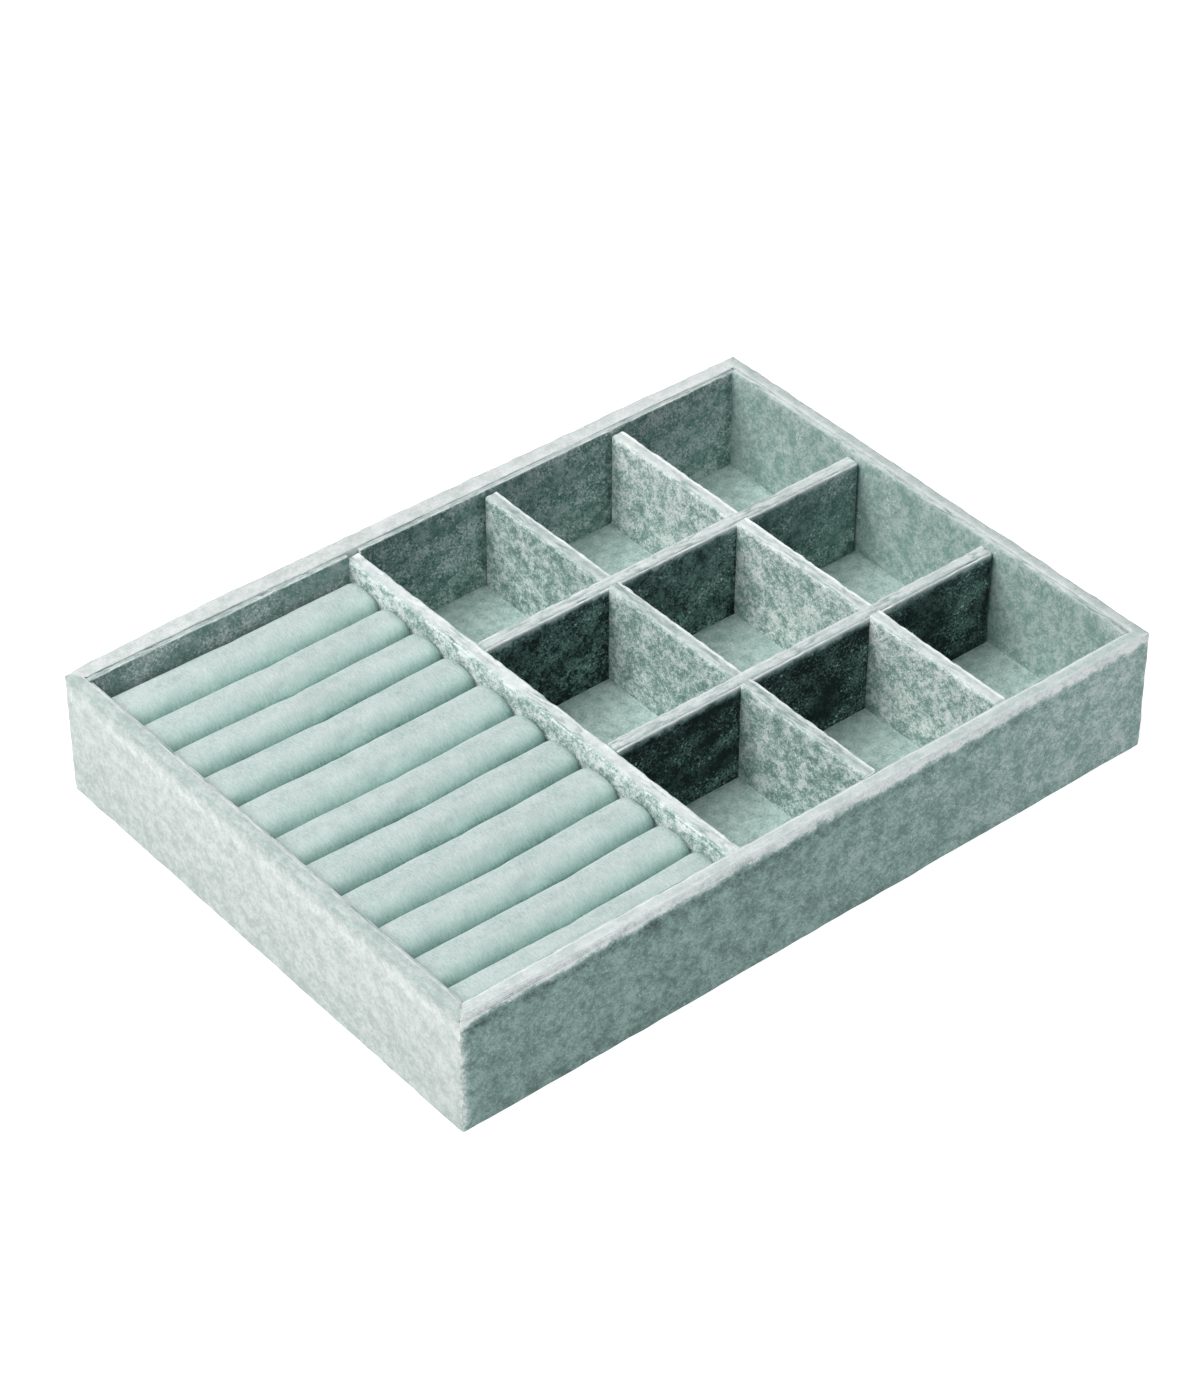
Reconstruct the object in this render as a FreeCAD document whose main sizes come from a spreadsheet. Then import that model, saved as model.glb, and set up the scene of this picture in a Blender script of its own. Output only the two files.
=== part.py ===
import FreeCAD, Part
import os
import Sketcher

# A jewelry tray: a shallow board tray covered in velvet, with a bed of ring rolls at the left
# and a grid of nine cells at the right. The ring bed and the grid both lift straight out.
# Millimetres. The origin is the middle of the underside, X runs along the tray, Y to its back, Z up.

doc = FreeCAD.newDocument("jewelry_tray")
Vector = FreeCAD.Vector

SIZES = {
    # the whole tray, over its velvet
    "tray_length": 290.0,
    "tray_width": 210.0,
    "tray_height": 48.0,
    # cloths, with their pile
    "velvet": 0.9,
    "suede": 0.9,
    "felt_proud": 0.2,
    "felt_gap": 0.3,
    "hem_width": 12.0,
    "turn_in": 15.0,
    # boards and cards
    "wall_board": 3.2,
    "base_board": 3.2,
    "rabbet": 1.6,
    "floor_card": 1.3,
    "liner_card": 1.0,
    "divider_board": 3.2,
    # how far each top lies below the rim
    "liner_drop": 2.0,
    "divider_drop": 2.5,
    "roll_drop": 7.3,
    # soft edges of the covered boards
    "corner_round": 1.8,
    "rim_round": 1.4,
    "turn_round": 1.0,
    "liner_round": 0.8,
    "divider_round": 1.2,
    # the bays, between covered faces
    "ring_bay_length": 104.1,
    "left_cell_width": 53.0,
    "middle_cell_width": 52.0,
    "front_cell_depth": 60.5,
    "middle_cell_depth": 62.5,
    # room for what slots together or lifts out
    "slot_gap": 0.15,
    "lift_gap": 0.4,
    # the ring bed
    "ring_board": 2.0,
    "roll_height": 18.0,
    "roll_end_round": 3.0,
    "roll_gap": 0.2,
    "core_gap": 0.1,
    # how far a cut runs past what it cuts
    "overrun": 1.0,
}

# widths of the hand wrapped rolls as shares of their mean, from the back to the front
ROLL_WIDTH_SHARES = (1.07, 0.98, 0.94, 1.01, 1.15, 0.93, 1.00, 1.10, 1.00, 0.98, 0.83)

# an edge lies in a side of its block when it is this near, as a share of the block's diagonal
SNAP_SHARE = 1e-5

sheet = doc.addObject("Spreadsheet::Sheet", "Sizes")
for row, (alias, size) in enumerate(SIZES.items(), start=1):
    sheet.set(f"A{row}", str(size))
    sheet.setAlias(f"A{row}", alias)
doc.recompute()

pieces = []


def keep(piece):
    """Count an object as one of the tray's pieces."""
    pieces.append(piece)
    return piece


def value(expression):
    """The number that an expression of the sheet's sizes comes to."""
    return float(sheet.evalExpression(expression))


# Plain boards, sheets and cuts


def box(name, x, y, z):
    """A block between two limits along each axis, each limit an expression of the sheet's sizes."""
    block = doc.addObject("Part::Box", name)
    for side, axis, (low, high) in (("Length", "x", x), ("Width", "y", y), ("Height", "z", z)):
        block.setExpression(side, f"({high}) - ({low})")
        block.setExpression(f"Placement.Base.{axis}", low)
    return block


def cut(name, base, *tools):
    """A piece less one or more tools."""
    tool = tools[0]
    if len(tools) > 1:
        tool = doc.addObject("Part::MultiFuse", f"{name}_cuts")
        tool.Shapes = list(tools)
    piece = doc.addObject("Part::Cut", name)
    piece.Base = base
    piece.Tool = tool
    return piece


def longer(limits):
    """The same limits with the cutting overrun added at both ends."""
    low, high = limits
    return f"{low} - Sizes.overrun", f"{high} + Sizes.overrun"


def shorter(limits, size):
    """The same limits drawn in by a size at both ends."""
    low, high = limits
    return f"{low} + {size}", f"{high} - ({size})"


# Sketched bodies with soft edges


def new_body(name, x, y, z):
    """An empty body whose own origin is the low corner of the limits."""
    body = doc.addObject("PartDesign::Body", name)
    for axis, limits in (("x", x), ("y", y), ("z", z)):
        body.setExpression(f"Placement.Base.{axis}", limits[0])
    return body


def new_sketch(body, name, role):
    """An empty sketch on one of the body's own planes."""
    sketch = body.newObject("Sketcher::SketchObject", f"{body.Name}_{name}")
    plane = next(item for item in body.Origin.OriginFeatures if item.Role == role)
    sketch.AttachmentSupport = [(plane, "")]
    sketch.MapMode = "FlatFace"
    return sketch


def draw(sketch, outline, level, upright, smooth=()):
    """Draw a closed outline from the sketch's origin and hold its corners and directions."""
    for edge in outline:
        sketch.addGeometry(edge)
    for number in range(len(outline)):
        follower = (number + 1) % len(outline)
        joint = "Tangent" if number in smooth else "Coincident"
        sketch.addConstraint(Sketcher.Constraint(joint, number, 2, follower, 1))
    for number in level:
        sketch.addConstraint(Sketcher.Constraint("Horizontal", number))
    for number in upright:
        sketch.addConstraint(Sketcher.Constraint("Vertical", number))
    sketch.addConstraint(Sketcher.Constraint("Coincident", 0, 1, -1, 1))


def dimension(sketch, name, direction, number, expression):
    """Give one drawn edge a named length that follows an expression."""
    index = sketch.addConstraint(Sketcher.Constraint(direction, number, 1, number, 2, value(expression)))
    sketch.renameConstraint(index, name)
    sketch.setExpression(f"Constraints.{name}", expression)


def draw_rectangle(sketch, wide, deep):
    """A rectangle with its first corner at the sketch's origin."""
    w, d = value(wide), value(deep)
    corners = (Vector(0, 0), Vector(w, 0), Vector(w, d), Vector(0, d))
    outline = [Part.LineSegment(a, b) for a, b in zip(corners, corners[1:] + corners[:1])]
    draw(sketch, outline, level=(0, 2), upright=(1, 3))
    dimension(sketch, "wide", "DistanceX", 0, wide)
    dimension(sketch, "deep", "DistanceY", 1, deep)


def quarter_arc(start, centre, end):
    """A quarter circle from one point to another about a centre."""
    middle = (start - centre) + (end - centre)
    middle.normalize()
    return Part.Arc(start, centre + middle * start.distanceToPoint(centre), end)


def draw_loaf(sketch, wide, tall):
    """A loaf section: a flat foot, upright sides and a crown of two quarter circles."""
    side = f"({tall}) - ({wide}) / 2"
    w, s = value(wide), value(side)
    centre, top = Vector(w / 2, s), Vector(w / 2, s + w / 2)
    right, left = Vector(w, s), Vector(0, s)
    outline = [
        Part.LineSegment(Vector(0, 0), Vector(w, 0)),
        Part.LineSegment(Vector(w, 0), right),
        quarter_arc(right, centre, top),
        quarter_arc(top, centre, left),
        Part.LineSegment(left, Vector(0, 0)),
    ]
    draw(sketch, outline, level=(0,), upright=(1, 4), smooth=(1, 2, 3))
    sketch.addConstraint(Sketcher.Constraint("Equal", 1, 4))
    dimension(sketch, "wide", "DistanceX", 0, wide)
    dimension(sketch, "side", "DistanceY", 1, side)


def pad(body, sketch, length):
    """Raise a sketch into a solid along its own normal."""
    feature = body.newObject("PartDesign::Pad", f"{sketch.Name}_pad")
    feature.Profile = sketch
    feature.setExpression("Length", length)
    doc.recompute()
    return feature


def in_sides(shape, edge, sides):
    """Whether an edge lies in all the named sides of the shape's box, such as XMin and ZMax."""
    whole, own = shape.BoundBox, edge.BoundBox
    snap = SNAP_SHARE * whole.DiagonalLength
    for side in sides:
        level = getattr(whole, side)
        axis = side[0]
        if max(abs(getattr(own, f"{axis}Min") - level), abs(getattr(own, f"{axis}Max") - level)) > snap:
            return False
    return True


def soften(body, name, radius, wanted):
    """Round the edges of the body's last feature that the test wanted(shape, edge) picks."""
    base = body.Tip
    shape = base.Shape
    picked = [f"Edge{n}" for n, edge in enumerate(shape.Edges, start=1) if wanted(shape, edge)]
    feature = body.newObject("PartDesign::Fillet", f"{body.Name}_{name}")
    feature.Base = (base, picked)
    feature.setExpression("Radius", radius)
    doc.recompute()
    return feature


PLAN_SIDES = ("XMin", "XMax", "YMin", "YMax")


def is_upright(shape, edge):
    """Whether an edge is one of a block's four upright corners."""
    return sum(in_sides(shape, edge, (side,)) for side in PLAN_SIDES) == 2 and not is_top(shape, edge)


def is_top(shape, edge):
    """Whether an edge lies in the top of its block."""
    return in_sides(shape, edge, ("ZMax",))


def is_outer_top(shape, edge):
    """Whether an edge lies in the top and in an outer side of its block."""
    return any(in_sides(shape, edge, ("ZMax", side)) for side in PLAN_SIDES)


def is_inner_top(shape, edge):
    """Whether an edge lies in the top of its block but in no outer side."""
    return is_top(shape, edge) and not is_outer_top(shape, edge)


def block_body(name, x, y, z):
    """A body that starts as a plain block between the limits."""
    body = new_body(name, x, y, z)
    sketch = new_sketch(body, "plan", "XY_Plane")
    draw_rectangle(sketch, *(f"({high}) - ({low})" for low, high in (x, y)))
    pad(body, sketch, f"({z[1]}) - ({z[0]})")
    return body


def loaf_body(name, x, y, z, end_round):
    """A body like a loaf lying along X, with its two ends rounded over."""
    body = new_body(name, x, y, z)
    sketch = new_sketch(body, "section", "YZ_Plane")
    draw_loaf(sketch, *(f"({high}) - ({low})" for low, high in (y, z)))
    pad(body, sketch, f"({x[1]}) - ({x[0]})")

    def at_end(shape, edge):
        ends = any(in_sides(shape, edge, (side,)) for side in ("XMin", "XMax"))
        return ends and not in_sides(shape, edge, ("ZMin",))

    soften(body, "ends", end_round, at_end)
    return body


# Depths from the tray's outer faces inwards

to_board = "Sizes.velvet"
to_board_back = f"{to_board} + Sizes.wall_board"
to_rabbet = f"{to_board_back} - Sizes.rabbet"
to_turn_in = f"{to_board_back} + Sizes.velvet"
to_card = f"{to_turn_in} + Sizes.liner_card"
to_lining = f"{to_card} + Sizes.velvet"
to_felt = "Sizes.hem_width + Sizes.felt_gap"

# Heights above the surface that the tray stands on

hem_bottom = "Sizes.felt_proud"
board_bottom = f"{hem_bottom} + Sizes.velvet"
base_top = f"{board_bottom} + Sizes.base_board"
card_top = f"{base_top} + Sizes.floor_card"
floor_top = f"{card_top} + Sizes.suede"
rim_top = "Sizes.tray_height"
board_top = f"{rim_top} - Sizes.velvet"
turn_in_bottom = f"{board_top} - Sizes.turn_in"
liner_top = f"{rim_top} - Sizes.liner_drop"
divider_top = f"{rim_top} - Sizes.divider_drop"
lap_height = f"({floor_top} + {divider_top}) / 2"
ring_board_top = f"{floor_top} + Sizes.ring_board"
roll_crest = f"{rim_top} - Sizes.roll_drop"
roll_foot = f"{roll_crest} - Sizes.roll_height"

half_length = "Sizes.tray_length / 2"
half_width = "Sizes.tray_width / 2"
HALF = {"left": half_length, "right": half_length, "front": half_width, "rear": half_width}


def across(side, near, far):
    """Limits across one wall between two depths from its outer face."""
    half = HALF[side]
    if side in ("left", "front"):
        return f"-{half} + {near}", f"-{half} + {far}"
    return f"{half} - ({far})", f"{half} - ({near})"


def inside(depth):
    """Limits along X and along Y of the rectangle that lies a depth inside the outer faces."""
    return tuple((f"-{half} + {depth}", f"{half} - ({depth})") for half in (half_length, half_width))


def beside(side, wall_limits, run_limits):
    """Limits across a wall and along it, put in the order X, Y."""
    if side in ("left", "right"):
        return wall_limits, run_limits
    return run_limits, wall_limits


# The board tray: a base let into rabbets of four walls, which are rabbeted at their corners

keep(box("base_board", *inside(to_rabbet), (board_bottom, base_top)))

wall_height = (board_bottom, board_top)
below_base = (f"{board_bottom} - Sizes.overrun", base_top)

for side in ("front", "rear"):
    let_in = across(side, to_rabbet, f"{to_board_back} + Sizes.overrun")
    blank = box(f"{side}_wall_blank", inside(to_board)[0], across(side, to_board, to_board_back), wall_height)
    cuts = [box(f"{side}_wall_base_rabbet", inside(to_rabbet)[0], let_in, below_base)]
    for end in ("left", "right"):
        end_limits = across(end, f"{to_board} - Sizes.overrun", to_board_back)
        cuts.append(box(f"{side}_wall_{end}_rabbet", end_limits, let_in, longer(wall_height)))
    keep(cut(f"{side}_wall_board", blank, *cuts))

for side in ("left", "right"):
    let_in = across(side, to_rabbet, f"{to_board_back} + Sizes.overrun")
    blank = box(f"{side}_wall_blank", across(side, to_board, to_board_back), inside(to_rabbet)[1], wall_height)
    base_rabbet = box(f"{side}_wall_base_rabbet", let_in, inside(to_board)[1], below_base)
    keep(cut(f"{side}_wall_board", blank, base_rabbet))

# The outer velvet: up the walls, over the rim, turned down inside, and turned under as a hem

wrap_body = block_body("outer_velvet_block", *inside("0"), (hem_bottom, rim_top))
hollow_sketch = new_sketch(wrap_body, "hollow", "XY_Plane")
for axis in ("x", "y"):
    hollow_sketch.setExpression(f"AttachmentOffset.Base.{axis}", to_turn_in)
hollow_sketch.setExpression("AttachmentOffset.Base.z", f"{rim_top} - ({hem_bottom})")
draw_rectangle(hollow_sketch, *(f"({high}) - ({low})" for low, high in inside(to_turn_in)))
hollow = wrap_body.newObject("PartDesign::Pocket", "outer_velvet_hollow")
hollow.Profile = hollow_sketch
hollow.setExpression("Length", f"{rim_top} - ({board_bottom})")
doc.recompute()
if not hollow.Shape.Volume < hollow.BaseFeature.Shape.Volume:
    raise RuntimeError("the hollow of the outer velvet cuts nothing")
soften(wrap_body, "turn", "Sizes.turn_round", is_inner_top)
soften(wrap_body, "corners", "Sizes.corner_round", is_upright)
soften(wrap_body, "rim", "Sizes.rim_round", is_outer_top)

wall_plan = inside(to_board)
below_turn = box("outer_velvet_below_turn", *wall_plan, (board_bottom, turn_in_bottom))
wall_block = box("outer_velvet_wall_block", *wall_plan, (turn_in_bottom, board_top))
wall_heart = box("outer_velvet_wall_heart", *inside(to_board_back), longer((turn_in_bottom, board_top)))
wall_ring = cut("outer_velvet_wall_ring", wall_block, wall_heart)
hem_opening = box("outer_velvet_hem_opening", *inside("Sizes.hem_width"), longer((hem_bottom, board_bottom)))
keep(cut("outer_velvet", wrap_body, below_turn, wall_ring, hem_opening))

keep(box("underside_felt", *inside(to_felt), ("0", board_bottom)))

# The floor: a suede covered card laid over the whole base

keep(box("floor_card", *inside(to_board_back), (base_top, card_top)))
keep(box("floor_suede", *inside(to_board_back), (card_top, floor_top)))

# Where the partition and the dividers stand

divider_thick = "2 * Sizes.velvet + Sizes.divider_board"
bay_x, bay_y = inside(to_lining)


def after(start, gap):
    """Limits of a covered board that stands a gap past a covered face."""
    low = f"{start} + {gap}"
    return low, f"{low} + {divider_thick}"


partition_x = after(bay_x[0], "Sizes.ring_bay_length")
left_cross_x = after(partition_x[1], "Sizes.left_cell_width")
right_cross_x = after(left_cross_x[1], "Sizes.middle_cell_width")
front_long_y = after(bay_y[0], "Sizes.front_cell_depth")
rear_long_y = after(front_long_y[1], "Sizes.middle_cell_depth")


def covered_board(name, x, y, slots=()):
    """A board standing on the floor, and its velvet over both faces, both ends and the top."""
    board_z = (floor_top, f"{divider_top} - Sizes.velvet")
    board_plan = shorter(x, "Sizes.velvet"), shorter(y, "Sizes.velvet")
    space = box(f"{name}_board_space", *board_plan, (f"{floor_top} - Sizes.overrun", board_z[1]))
    sleeve = block_body(f"{name}_velvet_block", x, y, (floor_top, divider_top))
    soften(sleeve, "edges", "Sizes.divider_round", lambda s, e: is_top(s, e) or is_upright(s, e))
    if slots:
        blank = box(f"{name}_board_blank", *board_plan, board_z)
        keep(cut(f"{name}_board", blank, *slots))
    else:
        keep(box(f"{name}_board", *board_plan, board_z))
    keep(cut(f"{name}_velvet", sleeve, space, *slots))


# The partition reaches from wall to wall, so the liners butt against it bay by bay

covered_board("partition", partition_x, inside(to_turn_in)[1])

# The liners: cards covered in velvet over the face and the top edge

INNER_FACE = {"front": "YMax", "rear": "YMin", "left": "XMax", "right": "XMin"}


def liner(name, side, run):
    """One liner along a wall between the limits of its run."""
    card_top_edge = f"{liner_top} - Sizes.velvet"
    card_plan = beside(side, across(side, to_turn_in, to_card), run)
    keep(box(f"{name}_liner_card", *card_plan, (floor_top, card_top_edge)))
    space_plan = beside(side, across(side, f"{to_turn_in} - Sizes.overrun", to_card), longer(run))
    space = box(f"{name}_liner_card_space", *space_plan, (f"{floor_top} - Sizes.overrun", card_top_edge))
    facing = block_body(f"{name}_liner_block", *beside(side, across(side, to_turn_in, to_lining), run),
                        (floor_top, liner_top))
    soften(facing, "edge", "Sizes.liner_round", lambda s, e: in_sides(s, e, ("ZMax", INNER_FACE[side])))
    keep(cut(f"{name}_liner_velvet", facing, space))


wall_x = inside(to_turn_in)[0]
for side in ("front", "rear"):
    liner(f"ring_{side}", side, (wall_x[0], partition_x[0]))
    liner(f"grid_{side}", side, (partition_x[1], wall_x[1]))
for side in ("left", "right"):
    liner(side, side, bay_y)

# The grid: two long and two cross dividers, halved over each other at mid height

long_dividers = {"front_long_divider": front_long_y, "rear_long_divider": rear_long_y}
cross_dividers = {"left_cross_divider": left_cross_x, "right_cross_divider": right_cross_x}
long_x = shorter((partition_x[1], bay_x[1]), "Sizes.lift_gap")
cross_y = shorter(bay_y, "Sizes.lift_gap")
slot_from_below = (f"{floor_top} - Sizes.overrun", f"{lap_height} + Sizes.slot_gap")
slot_from_above = (lap_height, f"{divider_top} + Sizes.overrun")


def widened(limits):
    """The limits of a slot that takes a covered board between them."""
    low, high = limits
    return f"{low} - Sizes.slot_gap", f"{high} + Sizes.slot_gap"


for name, y in long_dividers.items():
    slots = [
        box(f"{name}_slot_{number}", widened(x), longer(y), slot_from_below)
        for number, x in enumerate(cross_dividers.values(), start=1)
    ]
    covered_board(name, long_x, y, slots)

for name, x in cross_dividers.items():
    slots = [
        box(f"{name}_slot_{number}", longer(x), widened(y), slot_from_above)
        for number, y in enumerate(long_dividers.values(), start=1)
    ]
    covered_board(name, x, cross_y, slots)

# The ring bed: a board, a foam pad, and velvet covered foam rolls side by side on the pad

bed_x = shorter((bay_x[0], partition_x[0]), "Sizes.lift_gap")
bed_y = shorter(bay_y, "Sizes.lift_gap")
bed_depth = f"({bed_y[1]}) - ({bed_y[0]})"
keep(box("ring_bed_board", bed_x, bed_y, (floor_top, ring_board_top)))
keep(box("ring_bed_foam_pad", bed_x, bed_y, (ring_board_top, roll_foot)))

core_inset = "(Sizes.velvet + Sizes.core_gap)"
shares_used = 0
for number, width_share in enumerate(ROLL_WIDTH_SHARES, start=1):
    name = f"ring_roll_{number:02d}"
    back_share = shares_used / sum(ROLL_WIDTH_SHARES)
    shares_used += width_share
    front_share = shares_used / sum(ROLL_WIDTH_SHARES)
    roll_y = shorter(
        (f"{bed_y[1]} - {front_share} * ({bed_depth})", f"{bed_y[1]} - {back_share} * ({bed_depth})"),
        "Sizes.roll_gap / 2",
    )
    outside = loaf_body(f"{name}_outside", bed_x, roll_y, (roll_foot, roll_crest), "Sizes.roll_end_round")
    inner_space = loaf_body(
        f"{name}_inside",
        shorter(bed_x, "Sizes.velvet"),
        shorter(roll_y, "Sizes.velvet"),
        (f"{roll_foot} - Sizes.overrun", f"{roll_crest} - Sizes.velvet"),
        "Sizes.roll_end_round - Sizes.velvet",
    )
    keep(cut(f"{name}_velvet", outside, inner_space))
    keep(loaf_body(
        f"{name}_foam",
        shorter(bed_x, core_inset),
        shorter(roll_y, core_inset),
        (roll_foot, f"{roll_crest} - {core_inset}"),
        f"Sizes.roll_end_round - {core_inset}",
    ))

# Every object has to be sound before any file is written

doc.recompute()
faults = [item.Label for item in doc.Objects if {"Invalid", "Error"} & set(item.State)]
for piece in pieces:
    shape = piece.Shape
    if shape.isNull() or not shape.isValid() or len(shape.Solids) != 1:
        faults.append(piece.Label)
if faults:
    raise RuntimeError("these did not build: " + ", ".join(faults))

os.makedirs("parts", exist_ok=True)
for piece in pieces:
    piece.Shape.exportStep(f"parts/{piece.Label}.step")
print(f"{len(pieces)} pieces written")
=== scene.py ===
# %% [markdown]
# # A jewelry tray in crushed velvet
# The real tray is a shallow fibreboard box wrapped in pale green crushed velvet. A bed of padded ring
# rolls fills one end, and a grid of nine cells the other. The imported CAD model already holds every
# board and every cloth at its true place and size. This lesson dresses it: each cloth is built again
# as a soft mesh in the space of its solid, and then light and a camera are set as in the photograph.

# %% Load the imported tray
import math

import bpy
import numpy as np
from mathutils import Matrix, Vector, noise


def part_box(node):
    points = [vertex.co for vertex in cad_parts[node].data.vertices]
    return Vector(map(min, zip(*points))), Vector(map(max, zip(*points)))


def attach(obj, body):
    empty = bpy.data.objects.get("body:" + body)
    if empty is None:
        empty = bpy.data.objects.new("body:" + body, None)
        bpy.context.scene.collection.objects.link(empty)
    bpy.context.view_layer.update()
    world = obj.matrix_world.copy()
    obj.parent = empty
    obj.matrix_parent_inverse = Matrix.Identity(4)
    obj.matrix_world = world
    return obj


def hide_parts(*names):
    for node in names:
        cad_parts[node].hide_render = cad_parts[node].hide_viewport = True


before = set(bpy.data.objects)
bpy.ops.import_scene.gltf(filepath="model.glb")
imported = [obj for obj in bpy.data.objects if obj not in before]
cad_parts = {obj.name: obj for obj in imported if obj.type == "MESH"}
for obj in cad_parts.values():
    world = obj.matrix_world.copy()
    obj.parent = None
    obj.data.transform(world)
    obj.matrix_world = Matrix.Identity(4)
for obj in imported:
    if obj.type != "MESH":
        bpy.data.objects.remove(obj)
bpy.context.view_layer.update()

MM = 0.001

# %% [markdown]
# ## Colours and nodes
# Colours are picked as sRGB hex values, the way a dye chart gives them, but shaders mix linear light.
# One function turns the first into the second. A second one adds a shader node, sets its values and
# links what comes in, so that each finish below reads like a recipe.

# %% Colour and node helpers
def dye(code):
    """Linear red, green, blue and alpha of a hex colour."""
    parts = [int(code[i:i + 2], 16) / 255 for i in (1, 3, 5)]
    linear = [p / 12.92 if p <= 0.04045 else ((p + 0.055) / 1.055) ** 2.4 for p in parts]
    return (*linear, 1.0)


def add(tree, kind, sockets=None, tones=(), **settings):
    """A new node: its settings, each socket's value or the output that feeds it, and a ramp's tones."""
    node = tree.nodes.new(kind)
    for name, value in settings.items():
        setattr(node, name, value)
    for name, value in (sockets or {}).items():
        if isinstance(value, bpy.types.NodeSocket):
            tree.links.new(value, node.inputs[name])
        else:
            node.inputs[name].default_value = value
    if tones:
        stops = node.color_ramp.elements
        while len(stops) < len(tones):
            stops.new(0.5)
        for stop, (place, colour) in zip(stops, tones):
            stop.position = place
            stop.color = dye(colour)
    return node


def new_finish(name):
    """An empty material, its node tree and its output node."""
    finish = bpy.data.materials.new(name)
    finish.use_nodes = True
    finish.node_tree.nodes.clear()
    out = add(finish.node_tree, "ShaderNodeOutputMaterial")
    return finish, finish.node_tree, out


print("pale green pile in linear light:", [round(v, 3) for v in dye("#C2D3CF")])

# %% [markdown]
# ## Crushed velvet
# Velvet is a woven cloth with a cut pile. In crushed velvet the pile was pressed flat in many
# directions while wet, so neighbouring patches lean differently: one sends light to the eye, the next
# swallows it. That gives the eye pale torn patches and dark hollows with no change of dye. Each mesh
# below carries five values. Nap says how much light the pile sends back where it lies; it also holds
# painted shade on faces towards the front, in corners and in creases, and painted light on tops and
# along some edges. Crush says how uneven the pile is, frost how many pale tips stand out, a fourth
# value how worn the tips are together with a painted sheen where faces meet the light, and lie where
# each corner is over the pile, drawn out the way it was brushed. The finish breaks nap up by torn
# patches of many sizes and by a frost of pale tips, lets a few free tips shine where the frost is thick,
# and picks the colour.

# %% The crushed velvet finish
# each pattern of the pile: the size of its largest blots, how often they are halved into smaller ones,
# and how strong each of these is beside the one before it
TORN_PATCHES = (6 * MM, 4.0, 1.0)
# single tips are near 0.2 mm, too fine for this view, so they are drawn four to six times coarser
PALE_TIPS = (0.8 * MM, 1.0, 0.8)
FREE_TIPS = (1.2 * MM, 0.0, 0.8)
# how much nap each of them takes or gives
TORN_SWING, PALE_GAIN, FREE_GAIN = 0.26, 0.45, 0.5


def crushed_velvet(name, fresh, rubbed):
    """Crushed velvet from the tones of its fresh pile and of its worn tips, which also carry painted sheen.
    """
    finish, tree, out = new_finish(name)
    nap, crush, frost, rub = [add(tree, "ShaderNodeAttribute", attribute_name=value).outputs["Fac"]
                              for value in ("nap", "crush", "frost", "rub")]
    lie = add(tree, "ShaderNodeAttribute", attribute_name="lie").outputs["Vector"]
    patches, tips, free = [
        add(tree, "ShaderNodeTexNoise", {"Vector": lie, "Scale": 1 / size, "Detail": detail,
                                         "Roughness": rough}).outputs["Fac"]
        for size, detail, rough in (TORN_PATCHES, PALE_TIPS, FREE_TIPS)]
    tips = add(tree, "ShaderNodeMath", {0: tips, 1: frost}).outputs[0]
    # a few tips here and there stand free of the rest and shine, but only where the frost is thick
    torn, pale, shine, thick = [
        add(tree, "ShaderNodeMapRange", {"Value": field, "From Min": low, "From Max": high, "To Min": least,
                                         "To Max": most}, interpolation_type="SMOOTHSTEP").outputs["Result"]
        for field, low, high, least, most in (
            (patches, 0.35, 0.65, -TORN_SWING, TORN_SWING), (tips, 1.0, 1.4, 0.0, PALE_GAIN),
            (free, 0.66, 0.8, 0.0, FREE_GAIN), (frost, 0.38, 0.65, 0.0, 1.0))]
    uneven = add(tree, "ShaderNodeMath", {0: torn, 1: crush, 2: nap}, operation="MULTIPLY_ADD").outputs[0]
    frosted = add(tree, "ShaderNodeMath", {0: shine, 1: thick, 2: pale}, operation="MULTIPLY_ADD").outputs[0]
    level = add(tree, "ShaderNodeMath", {0: uneven, 1: frosted}).outputs[0]
    # the second tones are worn tips under a painted sheen, mixed in where faces meet the light
    new_tone, sheen_and_wear_tone = [add(tree, "ShaderNodeValToRGB", {"Fac": level}, tones).outputs["Color"]
                          for tones in (fresh, rubbed)]
    tone = add(tree, "ShaderNodeMix", {"Factor": rub, "A": new_tone, "B": sheen_and_wear_tone}, data_type="RGBA")
    bump = add(tree, "ShaderNodeBump", {"Height": level, "Strength": 0.5, "Distance": 0.3 * MM})
    # pile is dull and rough, and its tips catch light along the edges of a form
    cloth = add(tree, "ShaderNodeBsdfPrincipled", {
        "Base Color": tone.outputs["Result"], "Normal": bump.outputs["Normal"], "Roughness": 0.9,
        "Specular IOR Level": 0.15, "Sheen Weight": 0.3, "Sheen Roughness": 0.35,
        "Sheen Tint": dye("#F0F4F3")})
    tree.links.new(cloth.outputs["BSDF"], out.inputs["Surface"])
    return finish


velvet = crushed_velvet("crushed_velvet_pressed_pile",
                        fresh=((0, "#1B2E29"), (0.5, "#8CA9A2"), (1, "#EDF1F0")),
                        rubbed=((0, "#2F433E"), (0.5, "#A0AAA7"), (1, "#F3F4F3")))
print("made", velvet.name, "with", len(velvet.node_tree.nodes), "nodes")

# %% [markdown]
# ## Roll velvet
# The ring rolls wear a smoother, shorter velvet, so that rings slide in easily. Its pile is brushed one
# way, round each roll, which shows as fine short strokes across the roll. The strokes come from noise
# that is narrow along the roll and long round it. Down in the valleys painted shade makes the pile deep
# and green, and over the crown it is worn greyer and carries painted sheen.

# %% The roll velvet finish
# strokes of the pile are near 0.2 mm wide, and are drawn three times coarser so that they show
STROKE = 0.6 * MM
STROKE_STRETCH = 4.0
TONE_DRIFT = 14 * MM
# deep tones of the green pile, and worn tones that also carry painted sheen over the crown
DEEP = ((0, "#56837A"), (0.4, "#9DBDB5"), (1, "#D2E9E2"))
WORN_AND_SHEEN = ((0, "#6F8F88"), (0.4, "#B2C0BC"), (1, "#E6EAE9"))

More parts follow.
